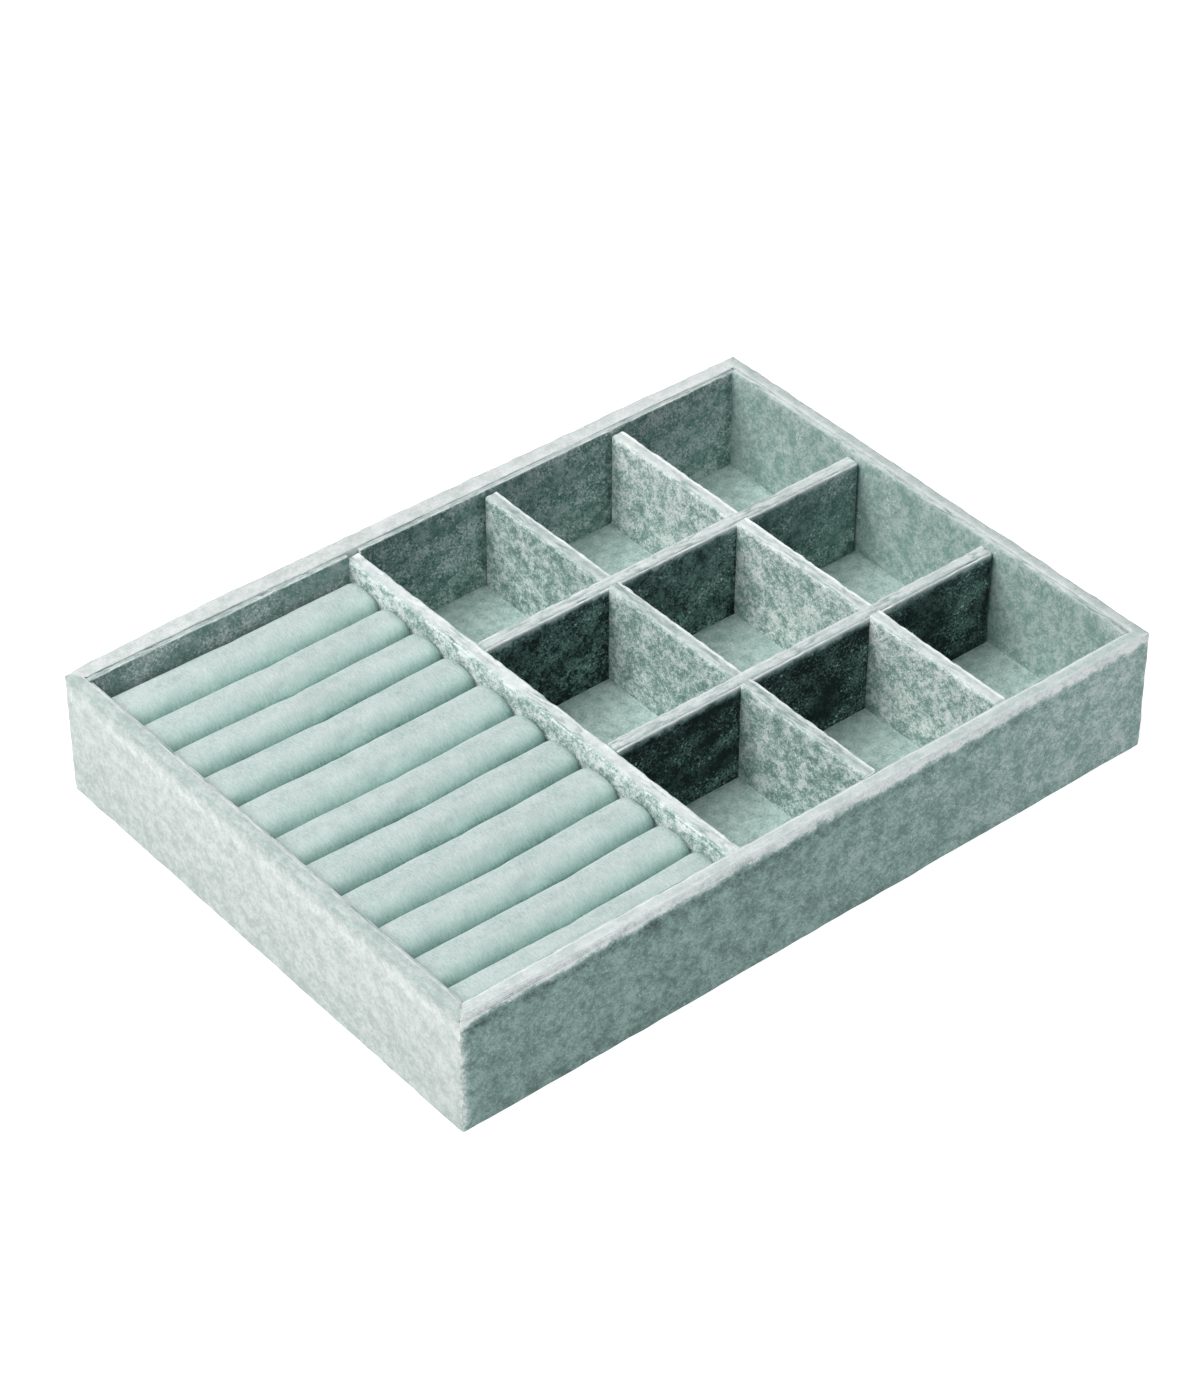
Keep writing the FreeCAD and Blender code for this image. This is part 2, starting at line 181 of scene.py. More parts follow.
roll_velvet, tree, out = new_finish("short_velvet_brushed")
place = add(tree, "ShaderNodeTexCoord").outputs["Object"]
round_roll = add(tree, "ShaderNodeMapping", {"Vector": place, "Scale": (1, STROKE_STRETCH, STROKE_STRETCH)},
                 vector_type="TEXTURE").outputs["Vector"]
level, rub = [add(tree, "ShaderNodeAttribute", attribute_name=value).outputs["Fac"]
              for value in ("nap", "rub")]
for where, size, swing in ((round_roll, STROKE, 0.21), (place, STROKE, 0.16), (place, TONE_DRIFT, 0.13)):
    pile = add(tree, "ShaderNodeTexNoise", {"Vector": where, "Scale": 1 / size, "Detail": 2.0,
                                            "Roughness": 0.8}).outputs["Fac"]
    uneven = add(tree, "ShaderNodeMapRange", {"Value": pile, "To Min": -swing, "To Max": swing},
                 interpolation_type="SMOOTHSTEP").outputs["Result"]
    level = add(tree, "ShaderNodeMath", {0: uneven, 1: level}).outputs[0]
deep, worn_and_sheen = [add(tree, "ShaderNodeValToRGB", {"Fac": level}, tones).outputs["Color"]
              for tones in (DEEP, WORN_AND_SHEEN)]
tone = add(tree, "ShaderNodeMix", {"Factor": rub, "A": deep, "B": worn_and_sheen}, data_type="RGBA").outputs["Result"]
bump = add(tree, "ShaderNodeBump", {"Height": level, "Strength": 0.3, "Distance": 0.2 * MM})
# short pile is dull too, with a weak sheen where it turns away from the eye
cloth = add(tree, "ShaderNodeBsdfPrincipled", {
    "Base Color": tone, "Normal": bump.outputs["Normal"], "Roughness": 0.85, "Specular IOR Level": 0.15,
    "Sheen Weight": 0.15, "Sheen Roughness": 0.35, "Sheen Tint": dye("#EAF3F0")})
tree.links.new(cloth.outputs["BSDF"], out.inputs["Surface"])
print("made", roll_velvet.name)

# %% [markdown]
# ## Suede, felt, boards and foam
# These finishes share one recipe: a base colour that drifts between two tones, a grain of a known size
# and a small bump. Suede-like floor cloth is a brushed nonwoven with a soft, even nap. Felt is pressed
# fibre. Fibreboard shows short brown fibres, greyboard is recycled paper with specks, and upholstery
# foam is a field of small open cells.

# %% Plain finishes
def grained(name, dark, light, grain, drift_size, bump_height, roughness, sheen=0.0):
    """A dull material whose colour drifts between two tones and carries a grain of one size."""
    finish, tree, out = new_finish(name)
    place = add(tree, "ShaderNodeTexCoord").outputs["Object"]
    fine, broad = [add(tree, "ShaderNodeTexNoise", {"Vector": place, "Scale": 1 / size, "Detail": 3.0})
                   .outputs["Fac"] for size in (grain, drift_size)]
    both = add(tree, "ShaderNodeMath", {0: fine, 1: broad}).outputs[0]
    half = add(tree, "ShaderNodeMath", {0: both, 1: 0.5}, operation="MULTIPLY").outputs[0]
    tone = add(tree, "ShaderNodeValToRGB", {"Fac": half}, ((0.3, dark), (0.7, light)))
    bump = add(tree, "ShaderNodeBump", {"Height": fine, "Strength": 0.3, "Distance": bump_height})
    surface = add(tree, "ShaderNodeBsdfPrincipled", {
        "Base Color": tone.outputs["Color"], "Normal": bump.outputs["Normal"], "Roughness": roughness,
        "Specular IOR Level": 0.25, "Sheen Weight": sheen, "Sheen Roughness": 0.5})
    tree.links.new(surface.outputs["BSDF"], out.inputs["Surface"])
    return finish


# fibres and cells under half a millimetre are drawn a little coarser, so that the grain shows at all
# brushed: soft, dull and finely mottled
suede = grained("suede_cloth_brushed", "#78958E", "#C9DBD6", 0.8 * MM, 3.5 * MM, 0.2 * MM, 0.95, 0.2)
# pressed: flat, quiet and fully dull
felt = grained("felt_pressed", "#5E7A72", "#7C968F", 0.8 * MM, 12 * MM, 0.25 * MM, 0.95, 0.1)
# sawn: brown with short fibres, a little smoother than cloth
fibreboard = grained("fibreboard_sawn", "#9A7B58", "#B99A73", 0.7 * MM, 8 * MM, 0.1 * MM, 0.8)
# pressed from waste paper: warm grey with faint specks
greyboard = grained("greyboard_pressed", "#8F8A80", "#ABA69B", 0.6 * MM, 10 * MM, 0.06 * MM, 0.85)
# blown: pale and pitted by its open cells
foam = grained("foam_open_cell", "#D9D6CC", "#F1EFE8", 0.9 * MM, 15 * MM, 0.4 * MM, 0.9)
print("made", [f.name for f in (suede, felt, fibreboard, greyboard, foam)])

# %% [markdown]
# ## Cloth from cells
# Most cloths of the tray are shells of one thickness bent round a board. A plain way to make such a
# shell is to cut space into small boxes between grid lines, fill the boxes that hold cloth, and keep
# the faces between filled and empty boxes. Slots, open bottoms and turned-in edges all come out right,
# and the faces are small quads that can be eased, waved and ruffled afterwards.

# %% Grid lines and the skin of filled cells
def grid_lines(low, high, step, marks=()):
    """Places from low to high with one on each mark, and about a step apart between them."""
    stops = sorted({round(float(v), 7) for v in (low, high, *marks) if low <= v <= high})
    places = [stops[0]]
    for a, b in zip(stops, stops[1:]):
        count = max(1, round((b - a) / step))
        places += [a + (b - a) * i / count for i in range(1, count + 1)]
    return np.array(places)


def middles(lines):
    """The middle of each gap between lines."""
    return (lines[:-1] + lines[1:]) / 2


def skin(lines, filled):
    """Corner places and quads of the skin round the filled cells of a grid."""
    counts = [len(axis_lines) for axis_lines in lines]
    padded = np.pad(filled.astype(np.int8), 1)
    rings = []
    for axis in range(3):
        a, b = (axis + 1) % 3, (axis + 2) % 3
        change = np.diff(padded, axis=axis)
        for sign, order in ((-1, ((0, 0), (1, 0), (1, 1), (0, 1))), (1, ((0, 0), (0, 1), (1, 1), (1, 0)))):
            cells = np.argwhere(change == sign)
            for other in (a, b):
                cells[:, other] -= 1
            ring = []
            for step_a, step_b in order:
                corner = cells.copy()
                corner[:, a] += step_a
                corner[:, b] += step_b
                ring.append((corner[:, 0] * counts[1] + corner[:, 1]) * counts[2] + corner[:, 2])
            rings.append(np.stack(ring, axis=1))
    used, quads = np.unique(np.concatenate(rings), return_inverse=True)
    quads = quads.reshape(-1, 4)
    x, rest = np.divmod(used, counts[1] * counts[2])
    y, z = np.divmod(rest, counts[2])
    return np.stack([lines[0][x], lines[1][y], lines[2][z]], axis=1), quads


def facing_of(places, quads):
    """The direction that each corner faces, from the quads round it."""
    corners = places[quads]
    normals = np.cross(corners[:, 2] - corners[:, 0], corners[:, 3] - corners[:, 1])
    total = np.zeros_like(places)
    for corner in range(4):
        np.add.at(total, quads[:, corner], normals)
    return total / np.maximum(np.linalg.norm(total, axis=1, keepdims=True), 1e-15)


print("a cell of one cube has", len(skin([np.array([0.0, 1.0])] * 3, np.ones((1, 1, 1), bool))[1]), "faces")

# %% [markdown]
# ## Easing edges and ruffling pile
# A board wrapped in cloth has soft edges, slight swells where the glue holds less, and a nap that never
# lies quite even. Edges are eased by drawing corner points in towards a smaller box until they are one
# radius from it. The swells are smooth noise along the direction that each point faces.

# %% Easing and waves
def eased(places, low, high, radius, foot=True):
    """Places with the edges of a box rounded. A box with a foot keeps its lower edges square."""
    core_low, core_high = np.array(low) + radius, np.array(high) - radius
    if foot:
        core_low[2] = low[2]
    core = np.clip(places, core_low, core_high)
    away = places - core
    far = np.linalg.norm(away, axis=1, keepdims=True)
    return core + away * np.minimum(1, radius / np.maximum(far, 1e-12))


def fading(distance, reach):
    """One at no distance, and nothing from the reach on."""
    return np.clip(1 - distance / reach, 0, 1)


# how far apart in the noise two patterns with different starts lie
APART = (7.31, 3.17, 5.73)


def waves(places, size, start):
    """Smooth noise at each place, about -1 to 1, with swells of one size."""
    shift = Vector([start * step for step in APART])
    return np.array([noise.noise(Vector(p) / size + shift) for p in places])


print("waves at the middle of the tray:", round(float(waves([(0, 0, 0)], MM, 1)[0]), 3))

# %% The lie of the pile
WAYS = (("left", "right"), ("front", "back"), ("under", "top"))


def by_facing(normals, levels):
    """A value for each corner, blended from the levels of the six ways that it can face."""
    total = np.zeros(len(normals))
    for axis, (below, above) in enumerate(WAYS):
        total += normals[:, axis] ** 2 * np.where(normals[:, axis] < 0, levels[below], levels[above])
    return total


# how far patches of pile are drawn out: downhill to the back or the right on walls, and along the tops
SIDE_DRAWN, LONG_DRAWN, TOP_DRAWN = 1.3, 1.3, 1.8


def pile_lie(places, quads, along_x, side_drawn=SIDE_DRAWN):
    """Each face's corners as places over its pile."""
    corners = places[quads]
    x, y, z = np.moveaxis(corners, 2, 0)
    facing = np.abs(np.cross(corners[:, 2] - corners[:, 0], corners[:, 3] - corners[:, 1])).argmax(axis=1)
    half = math.sqrt(0.5)
    side_wall = np.stack([x, (y - z) * half / side_drawn, (y + z) * half], axis=2)
    long_wall = np.stack([y, (x - z) * half / LONG_DRAWN, (x + z) * half], axis=2)
    top = np.where(along_x[quads][..., None], np.stack([y, z, x / TOP_DRAWN], axis=2),
                   np.stack([x, z, y / TOP_DRAWN], axis=2))
    return np.select([(facing == axis)[:, None, None] for axis in range(3)], [side_wall, long_wall, top])


# levels for each way a face looks: they hold painted shade on faces towards the front and painted light on
# the tops
NAP_AND_SHADE = {"left": 0.58, "right": 0.5, "front": 0.4, "back": 0.5, "under": 0.4, "top": 0.67}
CRUSH = {"left": 1.2, "right": 0.6, "front": 0.7, "back": 0.6, "under": 0.3, "top": 0.3}
FROST = {"left": 0.38, "right": 0.35, "front": 0.56, "back": 0.35, "under": 0.2, "top": 0.25}
print("nap on the flat tops:", NAP_AND_SHADE["top"], "and on faces towards the front:", NAP_AND_SHADE["front"])

# %% Building a mesh
SHARP = math.radians(60)


def new_piece(name, places, quads, finish, lie=None, **values):
    """A mesh object with smooth faces, its finish, and values stored at each corner."""
    mesh = bpy.data.meshes.new(name)
    mesh.from_pydata(places.tolist(), [], quads.tolist())
    mesh.shade_smooth()
    mesh.set_sharp_from_angle(angle=SHARP)
    for value_name, value in values.items():
        mesh.attributes.new(value_name, "FLOAT", "POINT").data.foreach_set("value", value)
    if lie is not None:
        mesh.attributes.new("lie", "FLOAT_VECTOR", "CORNER").data.foreach_set("vector", lie.ravel())
    mesh.materials.append(finish)
    piece = bpy.data.objects.new(name, mesh)
    bpy.context.scene.collection.objects.link(piece)
    return piece


def corners_of(node):
    """A node's lowest and highest corners as arrays."""
    low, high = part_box(node)
    return np.array(low), np.array(high)


print("the tray's base board is", np.round(np.subtract(*corners_of("base_board")[::-1]) / MM, 1), "mm")

# %% [markdown]
# ## The outer velvet
# One cloth goes up the outside of the walls, over the rim, and a short way down inside, where the
# liners hide its end. Under the base it is turned in as a hem. Its shell is filled by how deep a cell
# lies behind the outer face. At the rim's corners the cloth is folded to a mitre, which leaves a small
# crease, and along the front two seam lines run just below the rim. Along the back the cloth is slack:
# it stands up and out a little, and its rim slopes down to the liner. Worn tips fray at the edges.

# %% Fill the outer velvet
TURN_LONG, HEM_DEEP = 15.9 * MM, 12 * MM
SEAM_DROPS = (1.3 * MM, 2.1 * MM)
SEAM_HALF = 0.3 * MM
CLOTH_STEP = 1.2 * MM
outer_low, outer_high = corners_of("outer_velvet")
half_plan = outer_high[:2]
cloth_thick = corners_of("front_wall_board")[0][1] - outer_low[1]
turn_depth = corners_of("left_liner_card")[0][0] - outer_low[0]
turn_end = outer_high[2] - TURN_LONG

# grid lines lie close together where edges are rounded and where the seams run
rim_marks = [0.3 * MM, 0.6 * MM, cloth_thick, 1.5 * MM, 2.2 * MM, 2.9 * MM, 3.6 * MM, turn_depth - 1.5 * MM,
             turn_depth - cloth_thick, turn_depth - 0.45 * MM, turn_depth - 0.2 * MM, turn_depth, HEM_DEEP]
marks = [[s * (half - d) for d in rim_marks for s in (-1, 1)] for half in half_plan]
outer_lines = [grid_lines(-half, half, CLOTH_STEP, m) for half, m in zip(half_plan, marks)]
drops = [0.3 * MM, 0.6 * MM, cloth_thick, 2.3 * MM, 2.7 * MM, 3.1 * MM, 3.6 * MM]
drops += [drop + shift for drop in SEAM_DROPS for shift in (-SEAM_HALF, 0, SEAM_HALF)]
top_marks = [outer_low[2] + cloth_thick, turn_end] + [outer_high[2] - drop for drop in drops]
outer_lines.append(grid_lines(outer_low[2], outer_high[2], CLOTH_STEP, top_marks))

cell_x, cell_y, cell_z = np.meshgrid(*[middles(axis) for axis in outer_lines], indexing="ij", sparse=True)
depth = np.minimum(half_plan[0] - np.abs(cell_x), half_plan[1] - np.abs(cell_y))
wall = depth < cloth_thick
rim = (depth < turn_depth) & (cell_z > outer_high[2] - cloth_thick)
turned = (depth < turn_depth) & (depth > turn_depth - cloth_thick) & (cell_z > turn_end)
hem = (depth < HEM_DEEP) & (cell_z < outer_low[2] + cloth_thick)
places, quads = skin(outer_lines, wall | rim | turned | hem)
print("outer velvet:", len(quads), "quads of cloth", round(float(cloth_thick / MM), 2), "mm thick")

# %% Round the rim
# places nearer to each other than this are taken to be the same
HAIR = 0.01 * MM
# along the back the rim slopes down to the liner
SLOPE_WIDE, SLOPE_DROP, SLOPE_DEEP = 2.8 * MM, 0.75 * MM, 4 * MM
side_depth = half_plan - np.abs(places[:, :2])
depth = side_depth.min(axis=1)
drop = outer_high[2] - places[:, 2]
along_x = side_depth[:, 1] < side_depth[:, 0]
to_back, to_right = places[:, 1] > 0, places[:, 0] > 0
on_front, on_back, on_left = along_x & ~to_back, along_x & to_back, ~(along_x | to_right)
# the front edge is pulled tight over its seam, the left one is softest
rim_round = np.where(on_front, 0.7, np.where(on_left, 2.2, 1.2)) * MM
turn_round = np.where(on_back, 0.3, np.where(on_left, 0.5, 0.8)) * MM


def rounded(over, drop, radius):
    """How far out and down a point of a square edge lies once the edge is rounded."""
    out, up = np.maximum(over, 0), np.maximum(radius - drop, 0)
    shrink = np.minimum(1, radius / np.maximum(np.hypot(out, up), 1e-12))
    return out * shrink, np.where(out > 0, up * (1 - shrink), 0)


out, sink = rounded(rim_round - depth, drop, rim_round)
past, sink_inside = rounded(depth - (turn_depth - turn_round), drop, turn_round)
in_turn = depth < turn_depth + HAIR
at_turn = in_turn & (past > 0)
new_depth = np.where(depth < rim_round, rim_round - out, depth)
new_depth = np.where(at_turn, turn_depth - turn_round + past, new_depth)
slope = np.clip((depth - turn_depth + SLOPE_WIDE) / SLOPE_WIDE, 0, 1) * in_turn
new_z = places[:, 2] - np.where(at_turn, sink_inside, sink)
new_z -= SLOPE_DROP * slope * on_back * fading(drop, SLOPE_DEEP)
print("rim edges rounded by up to", round(float(rim_round.max() / MM), 1), "mm")

# %% Round the upright corners and fold the mitres
CORNER_ROUND = 1.2 * MM
MITRE_DEEP, MITRE_HALF = 0.35 * MM, 0.7 * MM
mitre = np.abs(np.subtract(*side_depth.T))
nearest = side_depth < depth[:, None] + 1e-7
side_depth = np.where(nearest, new_depth[:, None], np.maximum(side_depth, new_depth[:, None]))
side_sign = np.where(places[:, :2] < 0, -1, 1)
eased_outer = np.column_stack([side_sign * (half_plan - side_depth), new_z])
plan_core = np.clip(eased_outer[:, :2], -(half_plan - CORNER_ROUND), half_plan - CORNER_ROUND)
away = eased_outer[:, :2] - plan_core
far = np.maximum(np.linalg.norm(away, axis=1, keepdims=True), 1e-12)
eased_outer[:, :2] = plan_core + away * np.minimum(1, CORNER_ROUND / far)
level_top = drop < 0.1 * MM
on_top = level_top & (depth < turn_depth)
eased_outer[:, 2] -= np.where(on_top, MITRE_DEEP * fading(mitre, MITRE_HALF), 0)
print("mitre creases", MITRE_DEEP / MM, "mm deep")

# %% Ruffle the outer velvet
SEAM_SINK, SEAM_WANDER = 0.2 * MM, 0.3 * MM
# along the back the slack cloth stands up and out most a quarter of the way along
SLACK_OUT, SLACK_UP = 1.4 * MM, 1.2 * MM
# how far in from the face and down from the rim each of them reaches
OUT_IN, OUT_DOWN = 4 * MM, 9 * MM
UP_IN, UP_DOWN = 6 * MM, 4 * MM
SLACK = ((-1, 0), (-0.9, 0.5), (-0.55, 1), (0, 0.8), (0.5, 0.45), (1, 0.2))
length_share = places[:, 0] / half_plan[0]
on_face = depth < HAIR
# the edge seam shows most along the front, towards the ring bed
seam_reach = np.where(on_front, 0.5 - 0.6 * length_share + 0.8 * waves(places, 18 * MM, 3), 0)
wander = SEAM_WANDER * waves(places, 12 * MM, 9)
seam = np.max([fading(np.abs(drop - line - wander), SEAM_HALF) for line in SEAM_DROPS], axis=0)
seam = np.where(on_face, seam * np.clip(seam_reach, 0, 1), 0)
eased_outer[:, 1] += SEAM_SINK * seam
slack = np.interp(length_share, *zip(*SLACK)) * on_back
eased_outer[:, 1] += SLACK_OUT * slack * fading(depth, OUT_IN) * fading(drop, OUT_DOWN)
eased_outer[:, 2] += SLACK_UP * slack * fading(drop, UP_DOWN) * fading(depth, UP_IN)

# slow and short swells of the faces, and ragged edges, in millimetres
facing = facing_of(eased_outer, quads)
edge = (1 - (facing ** 4).sum(axis=1)) * np.where(on_front, 0.3, 1.0)
swell = 0.22 * waves(places, 24 * MM, 1) + 0.14 * waves(places, 6 * MM, 2)
ragged = 0.55 * waves(places, 7 * MM, 6) + 0.4 * waves(places, 3 * MM, 7)
swell = (swell + 0.9 * edge * ragged) * MM
outside = on_face | on_top
ruffled = eased_outer + facing * np.where(outside, swell, 0)[:, None]
print("outer velvet swells by up to", round(float(np.abs(swell[outside]).max() / MM), 2), "mm")

# %% Nap and painted shade of the rim and the outer faces
# by the way each face looks these levels paint shade on the front and light on the left face and the rim
OUTER_NAP_AND_SHADE = dict(NAP_AND_SHADE, left=0.6, front=0.48, right=0.56, back=0.56)
OUTER_CRUSH = dict(CRUSH, left=0.31, front=0.62, right=0.35, back=0.35)
OUTER_FROST = dict(FROST, left=0.3, front=0.42, right=0.3, back=0.3)
# how pale the rim is from its outer to its inner edge
RIM_FRONT = ((0.0, 0.78), (0.3, 0.71), (1.0, 0.7))
RIM_BACK = ((0.0, 0.66), (0.4, 0.75), (0.6, 0.82), (1.0, 0.92))
RIM_LEFT = ((0.0, 0.57), (0.35, 0.61), (1.0, 0.6))
RIM_RIGHT = ((0.0, 0.63), (0.5, 0.63), (0.8, 0.73), (1.0, 0.73))
across = np.clip(depth / turn_depth, 0, 1)
rims = [np.interp(across, *zip(*rim)) for rim in (RIM_FRONT, RIM_BACK, RIM_RIGHT, RIM_LEFT)]
OUTER_NAP_AND_SHADE["top"] = np.select([on_front, on_back, to_right], rims[:3], rims[3])
nap, crush, frost = [by_facing(facing, levels) for levels in (OUTER_NAP_AND_SHADE, OUTER_CRUSH, OUTER_FROST)]
front_share, left_share = [np.clip(-facing[:, axis], 0, 1) for axis in (1, 0)]
print("nap of the rim's top:", round(float(nap[on_top].min()), 2), "to", round(float(nap[on_top].max()), 2))

# %% Shade the outer faces
# level bands on the front and the left face, in millimetres below the rim
DARK_BAND, PALE_BAND, BAND_HALF = 6.2, 6.5, 2.2
down = drop / MM


def band(level):
    """One along a level band, fading above and below it."""
    return np.exp(-((down - level) / BAND_HALF) ** 2)


# the front grows paler to the right, and is darkest in its middle and just below its fringe
nap += front_share * (0.09 * length_share - 0.07 * (1 - length_share ** 2) ** 2)
nap -= front_share * (0.1 - 0.04 * length_share) * band(DARK_BAND)
# the left face has a pale band there, and is darker along its top edge and towards the floor
nap += left_share * (0.08 * band(PALE_BAND) - 0.1 * np.clip((3 - down) / 2.5, 0, 1))
nap -= 0.06 * left_share * np.clip((down - 20) / 25, 0, 1)
nap += 0.04 * np.where(on_front & level_top, np.maximum(length_share, 0), 0)
print("dark band of the front", DARK_BAND, "mm below the rim")

# %% Fray the outer edges
# pale tips hang over the outer edge of the rim in a ragged fringe, which the shaded front shows most:
# how long and how soft it is, in millimetres
FRINGE_LONG, FRINGE_SOFT = 3.6, 2.4
hang = FRINGE_LONG - 0.25 * length_share + 0.9 * waves(places, 11 * MM, 5) + 0.8 * waves(places, 4 * MM, 10)
fray = np.clip((hang - down) / FRINGE_SOFT + 0.5, 0, 1) * on_face
fringe = np.where(on_front, 0.96, np.where(on_back, 0.75, 0.62))
nap += np.where(along_x, fray * np.maximum(fringe - nap, 0), 0) - 0.3 * seam
crush = np.where(on_front, np.maximum(crush, 0.5 * fray + 3 * fray * (1 - fray)), crush)
# the upright edge at the front left is just as frayed
from_left, from_front = ((places - outer_low)[:, :2] / MM).T
ragged_long = FRINGE_LONG + 1.6 * waves(places, 5 * MM, 12)
upright = front_share * fading(from_left, ragged_long) * (down > 2)
nap += 0.4 * upright - 0.05 * left_share * fading(from_front, 2)
crush = np.maximum(crush, np.minimum(1.6 * upright, 0.9))
print("fringe hangs", round(float(hang.min()), 1), "to", round(float(hang.max()), 1), "mm down")

# %% Tones of the inner edge, and the finished outer velvet
# the turned-in side catches less light, so painted light keeps its pile as pale as the rim's, a little
# greener behind the rolls
BEHIND_ROLLS = ((-0.85, 0.75), (-0.6, 1.0))
TURNED_IN, TURNED_DOWN = 1.5 * MM, 4 * MM
EDGE_IN, EDGE_DOWN = 0.5 * MM, 1.0 * MM
turned = (depth > turn_depth - TURNED_IN) & (drop < TURNED_DOWN)
nap = np.where(turned & on_back & ~level_top, np.interp(length_share, *zip(*BEHIND_ROLLS)), nap)
# a painted highlight runs along the inner edge of the front and the left rim
inner_edge_highlight = (depth > turn_depth - EDGE_IN) & (drop < EDGE_DOWN) & (on_front | on_left)
nap += np.where(inner_edge_highlight, 0.16 + 0.1 * waves(places, 4 * MM, 8), 0)
# towards the right the middle of the front rim keeps its green
middle = on_front * level_top * np.clip(length_share + 0.1, 0, 1) * 4 * across * (1 - across)
nap -= 0.07 * middle
# hands wear the left face and the rim most, above all along the back; the same value lays painted sheen on
# these faces, which meet the light
OUTER_WEAR_AND_SHEEN = {"left": 1.0, "right": 0.3, "front": 0.05, "back": 0.3, "under": 0.3,
             "top": np.where(on_back, 1.0, 0.75)}
rub = by_facing(facing, OUTER_WEAR_AND_SHEEN) - 0.45 * middle
lie = pile_lie(places, quads, along_x, side_drawn=1.0)
outer_cover = new_piece("outer_velvet_cover", ruffled, quads, velvet, lie, nap=nap, crush=crush, frost=frost,
                        rub=rub)
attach(outer_cover, "tray")
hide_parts("outer_velvet")
print(outer_cover.name, "has", len(outer_cover.data.vertices), "corners")

# %% [markdown]
# ## Partition, dividers and liners
# Each divider is a board in a sleeve of velvet that is open below. The long and the cross dividers are
# halved over each other: the long ones are slotted from below and the cross ones from above. A liner is
# a card with velvet over its face and its top edge. All are the same idea, so one function fills the
# cloth's box, leaves out the board and the slots, eases the edges and ruffles the faces. Along the tops
# the cloth is drawn tight round the edge, which raises fine creases at a small angle to the length.

# %% Creases of the tight cloth
# millimetres that a crease drifts across for each millimetre along
SLANT = 0.12
CREASE_LONG, CREASE_WIDE = 9 * MM, 1.5 * MM


def creases(places, run, start):
    """Thin creases along a top edge, -1 at their deepest, that drift across it and fade in and out."""
    along, over = places[:, run], places[:, 1 - run]
    drifted = (over + SLANT * along) / CREASE_WIDE
    slanted = np.column_stack([along / CREASE_LONG, drifted, np.full(len(places), start)])
    lines = fading(np.abs(waves(slanted, 1.0, start)), 0.2)
    return -lines * np.clip(0.4 + 1.2 * waves(places, 14 * MM, start + 5), 0, 1)


print("creases drift", SLANT, "mm across for each mm along")

# %% The cells of a sleeve
# a fold of slack cloth lies this far below some left edges, and needs close grid lines
FOLDS = [1.5 * MM, 1.75 * MM, 2.0 * MM, 2.3 * MM]
FINE_STEP, THIN = 0.4 * MM, 8 * MM


def sleeve(low, high, board_low, board_high, radius, slots):
    """Places and quads of the cloth in a box, without the board in it and the slots through it."""
    rounding = [radius * 0.3, radius * 0.65, radius]
    lines = []
    for axis in range(3):
        marks = [low[axis] + r for r in rounding] + [high[axis] - r for r in rounding]
        marks += [board_low[axis], board_high[axis]]
        marks += [edge[axis] for slot in slots for edge in slot]
        if axis == 2:
            marks += [high[2] - fold for fold in FOLDS]
        thin = high[axis] - low[axis] < THIN
        lines.append(grid_lines(low[axis], high[axis], FINE_STEP if thin else CLOTH_STEP, marks))
    cells = np.meshgrid(*[middles(axis) for axis in lines], indexing="ij", sparse=True)
    filled = np.ones([len(axis) - 1 for axis in lines], bool)
    open_below = (board_low[0], board_low[1], -math.inf)
    for box_low, box_high in ((open_below, board_high), *slots):
        x, y, z = [(cell > a) & (cell < b) for cell, a, b in zip(cells, box_low, box_high)]
        filled &= ~(x & y & z)
    return skin(lines, filled)


# far edges are drawn tight
FAR_ROUND = 0.4 * MM


def eased_sleeve(places, low, high, radius, run, hidden):
    """Where a sleeve shows, and its places with the shown edges rounded."""
    shown = np.zeros(len(places), bool)
    round_low, round_high = low.copy(), high.copy()
    round_high[1 - run] += radius - FAR_ROUND
    for axis, (below, above) in enumerate(WAYS):
        if below in hidden:
            round_low[axis] -= radius
        else:
            shown |= places[:, axis] < low[axis] + HAIR
        if above in hidden:
            round_high[axis] += radius
        else:
            shown |= places[:, axis] > high[axis] - HAIR
    shown &= places[:, 2] > low[2] + FINE_STEP
    return shown, np.where(shown[:, None], eased(places, round_low, round_high, radius), places)


print("far edges are rounded by", FAR_ROUND / MM, "mm")

# %% Painted shade on the faces towards the front
# where each row of cells ends at a wall on its right, and painted shade darkens the last few millimetres
# before it
corners_x = np.array([corners_of(f"{node}_velvet")[0][0]
                      for node in ("left_cross_divider", "right_cross_divider", "right_liner")])
CORNER_DARK, CORNER_REACH = 0.22, 2.5 * MM


def front_shade(places, low, high, drift, rise):
    """How much paler a face towards the front is painted: more to the right and upwards, and with painted
    shade into each corner.
    """
    along, height = [(places[:, axis] - low[axis]) / (high[axis] - low[axis]) for axis in (0, 2)]
    to_corner = corners_x[:, None] - places[:, 0]
    to_corner = np.where(to_corner > -0.1 * MM, to_corner, 1).min(axis=0)
    dark = CORNER_DARK * np.exp(-np.maximum(to_corner, 0) / CORNER_REACH)
    return drift * along ** 2 + rise * height - dark


def frost_patches(places, front_share, left_share, start):
    """Pale tips crowd together in patches, which are long on the walls towards the front."""
    drawn = np.where(front_share > left_share, 0.5, 1.0)
    patches = np.column_stack([places[:, 0] * drawn, places[:, 1], places[:, 2] - SLANT * places[:, 0]])
    return 0.25 * waves(patches, 8 * MM, start + 7)


print("rows of cells end at", np.round(corners_x / MM, 1), "mm")

# %% One function for every covered board
# a row of tips stands up along the far edges, under a painted highlight: how high, and where across the top
# it starts and is full
STANDING = 0.3 * MM
TIP_ROW = (0.72, 0.9)
